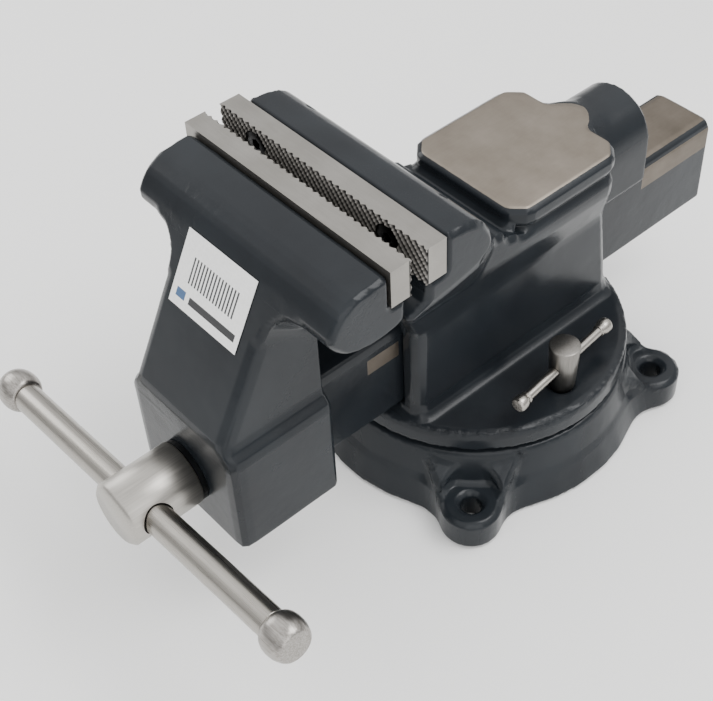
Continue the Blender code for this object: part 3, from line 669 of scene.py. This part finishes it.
clampBolt = {"x": 70.0, "y": 34.8, "top": 88.2, "barZ": 73.3, "bar": 2.8, "end": 37.2,
             "yaw": math.radians(6.4)}
clampProfile = [(12.0, 0.0), (12.0, 4.0), (13.0, 5.0), (57.65, 5.0), (57.7, 7.0), (58.3, 7.45),
                (87.2, 8.85), (87.9, 8.6), (88.2, 8.0), (88.2, 0.0)]
crossEnd = [(-5.0, 2.8), (-4.8, 3.4), (-4.4, 3.7), (-4.0, 3.6), (-3.5, 3.1), (-2.9, 3.3),
            (-1.6, 4.1), (-0.4, 4.45), (0.8, 4.5), (2.6, 4.5), (3.6, 4.2), (4.25, 3.5), (4.3, 0.0)]
for side, word in ((1.0, "right"), (-1.0, "left")):
    centre = Vector((clampBolt["x"] * side, clampBolt["y"], clampBolt["barZ"]))
    along = Vector((-math.sin(clampBolt["yaw"]) * side, math.cos(clampBolt["yaw"]), 0.0))
    boltMesh = meshFromBm(
        lathe(clampProfile, axisPlace((centre.x, centre.y, 0.0), (0, 0, 1)), 64), "bolt")
    hole = bmesh.new()
    bmesh.ops.create_cone(hole, cap_ends=True, segments=40, radius1=3.1 * mm, radius2=3.1 * mm,
                          depth=40 * mm, matrix=axisPlace(centre, along))
    boltMesh = cutWith(boltMesh, [meshFromBm(hole, "hole")])
    steel = turnedSteel("clampBolt" + word.title() + "TurnedSteel", "Z", centre,
                        colours=("#777470", "#918e89"), rough=0.32)
    bolt = pieceFromMesh("clamp_bolt_" + word, boltMesh, steel, "lock_" + word,
                         ["lock_bolt_" + word])
    softEdges(bolt, 0.3, 2)
    shape = [(clampBolt["end"] + level, radius) for level, radius in crossEnd]
    profile = [(-level, radius) for level, radius in reversed(shape)] + shape
    crossMesh = meshFromBm(lathe(profile, axisPlace(centre, along), 48), "cross")
    steel = turnedSteel("clampBar" + word.title() + "TurnedSteel", "Y", centre)
    cross = pieceFromMesh("clamp_bar_" + word, crossMesh, steel, "tbar_" + word,
                          ["lock_tbar_" + word])
    softEdges(cross, 0.15, 2)
print("clamp bolts done")


labelSheet = {"left": -26.9, "right": 24.8, "low": 176.1, "high": 210.6, "lift": 0.3,
              "thick": 0.22, "noseY": -169.0, "noseZ": 133.0, "slope": 0.5243}


def labelFilm(name):
    # white printed film with a block of plain bars and a plain band, no lettering
    material, tree, shader, place = newMaterial(name)
    uv = addNode(tree, "UVMap", {"uv_map": "sheet"}).outputs[0]
    axes = addNode(tree, "SeparateXYZ", inputs={0: uv}).outputs

    def inside(u, v):
        tests = [addNode(tree, "Math", {"operation": "GREATER_THAN"},
                         {0: axes[0], 1: u[0]}).outputs[0],
                 addNode(tree, "Math", {"operation": "LESS_THAN"},
                         {0: axes[0], 1: u[1]}).outputs[0],
                 addNode(tree, "Math", {"operation": "GREATER_THAN"},
                         {0: axes[1], 1: v[0]}).outputs[0],
                 addNode(tree, "Math", {"operation": "LESS_THAN"},
                         {0: axes[1], 1: v[1]}).outputs[0]]
        total = tests[0]
        for test in tests[1:]:
            total = addNode(tree, "Math", {"operation": "MULTIPLY"},
                            {0: total, 1: test}).outputs[0]
        return total

    stripe = addNode(tree, "Math", {"operation": "FRACT"},
                     {0: addNode(tree, "Math", {"operation": "MULTIPLY"},
                                 {0: axes[0], 1: 22.0}).outputs[0], 1: 0.0}).outputs[0]
    stripe = addNode(tree, "Math", {"operation": "LESS_THAN"}, {0: stripe, 1: 0.46}).outputs[0]
    bars = addNode(tree, "Math", {"operation": "MULTIPLY"},
                   {0: stripe, 1: inside((0.16, 0.86), (0.36, 0.72))}).outputs[0]
    band = inside((0.26, 0.94), (0.12, 0.22))
    tab = inside((0.07, 0.2), (0.12, 0.24))
    fleck = patternNoise(tree, place, 1.4, 3.0)
    paper = addNode(tree, "ValToRGB", inputs={"Fac": fleck},
                    stops=[(0.3, srgb("#eeeeed")), (0.7, srgb("#f8f8f7"))]).outputs["Color"]
    ink = addNode(tree, "Math", {"operation": "MAXIMUM"}, {0: bars, 1: band}).outputs[0]
    colour = addNode(tree, "Mix", {"data_type": "RGBA"},
                     {0: ink, 6: paper, 7: srgb("#2a2a2c")}).outputs[2]
    colour = addNode(tree, "Mix", {"data_type": "RGBA"},
                     {0: tab, 6: colour, 7: srgb("#3f5f86")}).outputs[2]
    tree.links.new(colour, shader.inputs["Base Color"])
    tree.links.new(addNode(tree, "Mix", {"data_type": "FLOAT"},
                           {0: fleck, 2: 0.36, 3: 0.5}).outputs[0], shader.inputs["Roughness"])
    tree.links.new(bumpChain(tree, [(patternNoise(tree, place, 7.0, 2.0), 0.3, 0.15)]),
                   shader.inputs["Normal"])
    return material


def buildLabel():
    bm = bmesh.new()
    bmesh.ops.create_grid(bm, x_segments=24, y_segments=18, size=0.5, calc_uvs=False)
    uvLayer = bm.loops.layers.uv.new("sheet")
    for face in bm.faces:
        for loop in face.loops:
            loop[uvLayer].uv = (loop.vert.co.x + 0.5, loop.vert.co.y + 0.5)
    out = Vector((0.0, -0.8856, 0.4644))
    for vert in bm.verts:
        u, v = vert.co.x + 0.5, vert.co.y + 0.5
        x = labelSheet["left"] + (labelSheet["right"] - labelSheet["left"]) * u
        z = labelSheet["low"] + (labelSheet["high"] - labelSheet["low"]) * v
        y = labelSheet["noseY"] + (z - labelSheet["noseZ"]) * labelSheet["slope"]
        vert.co = (Vector((x, y, z)) + out * (labelSheet["lift"] + labelSheet["thick"])) * mm
    bmesh.ops.recalc_face_normals(bm, faces=bm.faces)
    if sum(face.normal.y for face in bm.faces) > 0:
        bmesh.ops.reverse_faces(bm, faces=bm.faces)
    mesh = meshFromBm(bm, "label")

    def addSolid(holder):
        solid = holder.modifiers.new("thickness", "SOLIDIFY")
        solid.thickness = labelSheet["thick"] * mm
        solid.offset = -1.0

    return bakedMesh(mesh, addSolid)


pieceFromMesh("blank_label", buildLabel(), labelFilm("whitePrintedFilm"), "jaw", ["label"])
print("label done")


# pieces that stay as their solids, each with its own metal
hiddenMetals = {
    "lead_nut": ("castIronNut", "#3a3835", "#55524d", 0.55, 1.6, 0.1),
    "nut_bolt": ("blackOxideBolt", "#111112", "#222223", 0.42, 0.8, 0.03),
    "clamp_dog_right": ("castIronDogRight", "#3a3835", "#55524d", 0.6, 1.6, 0.1),
    "clamp_dog_left": ("castIronDogLeft", "#3a3835", "#55524d", 0.6, 1.6, 0.1),
    "thrust_washer": ("blackThrustWasher", "#131415", "#1e1f20", 0.5, 0.8, 0.03),
    "retaining_washer": ("plainSteelWasher", "#6d6b68", "#8a8884", 0.38, 0.9, 0.03),
    "retaining_spring": ("springSteelWire", "#4b4a48", "#6b6966", 0.34, 0.7, 0.02),
    "split_pin": ("drawnSteelPin", "#6d6b68", "#8a8884", 0.36, 0.7, 0.02),
}
for node, values in hiddenMetals.items():
    item = nodes[node]
    item.data.materials.clear()
    item.data.materials.append(plainMetal(*values))


studio = {
    "floorGlow": 0.06, "worldStrength": 1.15,
    # brightness of the room from the horizon up to straight overhead
    "sky": [(0.0, 0.45), (0.2, 0.6), (0.42, 0.8), (0.62, 1.25), (0.8, 1.65), (1.0, 1.25)],
    "cameraTarget": (14.078, -57.103, 106.669), "distance": 737.85, "azimuth": 50.53,
    "elevation": 46.0017, "roll": -2.9085, "lens": 70.4898,
    "shiftX": -0.018933, "shiftY": 0.0009,
}

bm = bmesh.new()
bmesh.ops.create_grid(bm, x_segments=1, y_segments=1, size=40.0)
bmesh.ops.translate(bm, verts=bm.verts, vec=(0.0, 0.0, cadLow.z - 0.0002))
floor = bpy.data.objects.new("floor", meshFromBm(bm, "floor"))
bpy.context.scene.collection.objects.link(floor)
floorPaint, tree, shader, place = newMaterial("matteWhiteFloor")
tone = addNode(tree, "ValToRGB", inputs={"Fac": patternNoise(tree, place, 400.0, 2.0)},
               stops=[(0.2, srgb("#f4f4f3")), (0.8, srgb("#f9f9f8"))]).outputs["Color"]
tree.links.new(tone, shader.inputs["Base Color"])
shader.inputs["Roughness"].default_value = 0.8
shader.inputs["Emission Color"].default_value = (1.0, 1.0, 1.0, 1.0)
shader.inputs["Emission Strength"].default_value = studio["floorGlow"]
floor.data.materials.append(floorPaint)

world = bpy.data.worlds.new("studioWorld")
bpy.context.scene.world = world
world.use_nodes = True
sky = world.node_tree.nodes["Background"]
facing = addNode(world.node_tree, "TexCoord").outputs["Generated"]
height = addNode(world.node_tree, "SeparateXYZ", inputs={0: facing}).outputs[2]
glow = addNode(world.node_tree, "ValToRGB", inputs={"Fac": height},
               stops=studio["sky"]).outputs["Color"]
world.node_tree.links.new(glow, sky.inputs["Color"])
sky.inputs["Strength"].default_value = studio["worldStrength"]

areaLights = {
    "topSoftbox": {"place": (500, 350, 1150), "size": 700, "power": 9.0},
    "leftSoftbox": {"place": (-1100, -300, 600), "size": 600, "power": 4.0},
    "rightFill": {"place": (900, -500, 500), "size": 800, "power": 3.0},
}
for name, settings in areaLights.items():
    data = bpy.data.lights.new(name, "AREA")
    data.size = settings["size"] * mm
    data.energy = settings["power"]
    lamp = bpy.data.objects.new(name, data)
    bpy.context.scene.collection.objects.link(lamp)
    lamp.location = Vector(settings["place"]) * mm
    aim = Vector((0.0, -20.0, 100.0)) * mm - lamp.location
    lamp.rotation_mode = "QUATERNION"
    lamp.rotation_quaternion = aim.to_track_quat("-Z", "Y")

azimuth, elevation = math.radians(studio["azimuth"]), math.radians(studio["elevation"])
back = Vector((math.sin(azimuth) * math.cos(elevation), -math.cos(azimuth) * math.cos(elevation),
               math.sin(elevation)))
right = (-back).cross(Vector((0, 0, 1))).normalized()
up = right.cross(-back)
roll = math.radians(studio["roll"])
right, up = (right * math.cos(roll) + up * math.sin(roll),
             up * math.cos(roll) - right * math.sin(roll))
eye = (Vector(studio["cameraTarget"]) + back * studio["distance"]) * mm
cameraData = bpy.data.cameras.new("studioCamera")
cameraData.sensor_width = 36.0
cameraData.lens = studio["lens"]
cameraData.shift_x = studio["shiftX"]
cameraData.shift_y = studio["shiftY"]
cameraData.clip_start = 0.01
camera = bpy.data.objects.new("studioCamera", cameraData)
bpy.context.scene.collection.objects.link(camera)
camera.matrix_world = Matrix(((right.x, up.x, back.x, eye.x), (right.y, up.y, back.y, eye.y),
                              (right.z, up.z, back.z, eye.z), (0, 0, 0, 1)))
bpy.context.scene.camera = camera

print("finished")
